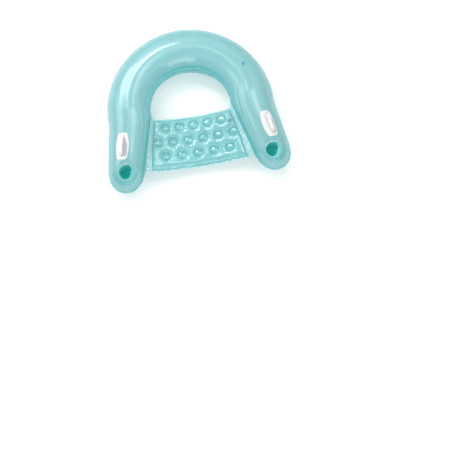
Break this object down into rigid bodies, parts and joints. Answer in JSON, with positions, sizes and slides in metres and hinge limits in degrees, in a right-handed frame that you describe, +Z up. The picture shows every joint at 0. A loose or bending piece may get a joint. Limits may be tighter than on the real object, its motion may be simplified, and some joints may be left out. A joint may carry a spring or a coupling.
{
  "type": "inflatable pool chair",
  "caption": "Inflatable pool chair: a horseshoe air tube with a quilted seat slung between its arms, cup holders in the arm tips, grab handles and strapped air valves.",
  "frame": {"origin": "middle of the footprint, on the plane that the tube rests on", "axes": "+Z up, +X to the right as seen from in front of the arm tips, +Y towards the backrest"},
  "size_m": [0.96, 0.8713, 0.2158],
  "materials": {
    "tube_vinyl": "glossy translucent vinyl sheet",
    "seat_vinyl": "glossy clear tinted vinyl sheet",
    "clear_vinyl": "glossy near clear vinyl",
    "cup_vinyl": "glossy deep tinted vinyl",
    "white_plastic": "satin soft moulded plastic",
    "valve_plastic": "satin soft moulded plastic"
  },
  "bodies": {
    "chair": {"ring_top_sheet": "tube_vinyl", "ring_bottom_sheet": "tube_vinyl", "seat_top_sheet": "seat_vinyl", "seat_bottom_sheet": "seat_vinyl", "seat_gusset_left": "clear_vinyl", "seat_gusset_right": "clear_vinyl", "cup_wall_left": "cup_vinyl", "cup_wall_right": "cup_vinyl", "cup_floor_left": "cup_vinyl", "cup_floor_right": "cup_vinyl", "cup_bead_left": "clear_vinyl", "cup_bead_right": "clear_vinyl", "handle_plate_left": "white_plastic", "handle_plate_right": "white_plastic", "ring_valve_body": "valve_plastic", "ring_valve_flap": "clear_vinyl", "seat_valve_body": "valve_plastic", "seat_valve_flap": "clear_vinyl"},
    "grip_left": {"handle_grip_left": "white_plastic"},
    "grip_right": {"handle_grip_right": "white_plastic"},
    "ring_cap": {"ring_valve_cap": "valve_plastic"},
    "seat_cap": {"seat_valve_cap": "valve_plastic"}
  },
  "joints": [
    {"name": "grip_left_lean", "type": "hinge", "parent": "chair", "child": "grip_left", "pos_m": [-0.38514, -0.21449, 0.19155], "axis": [-0.1892, -0.9768, -0.1008], "range_deg": [-30, 30], "stiffness_Nm_per_rad": 0.2},
    {"name": "grip_right_lean", "type": "hinge", "parent": "chair", "child": "grip_right", "pos_m": [0.38514, -0.21449, 0.19155], "axis": [0.1892, -0.9768, -0.1008], "range_deg": [-30, 30], "stiffness_Nm_per_rad": 0.2},
    {"name": "ring_cap_hinge", "type": "hinge", "parent": "chair", "child": "ring_cap", "pos_m": [0.31379, 0.14224, 0.20558], "axis": [-0.7055, 0.7055, 0.0664], "range_deg": [0, 95]},
    {"name": "seat_cap_hinge", "type": "hinge", "parent": "chair", "child": "seat_cap", "pos_m": [0.20232, -0.13, 0.10668], "axis": [0, 1, 0], "range_deg": [0, 95]}
  ]
}
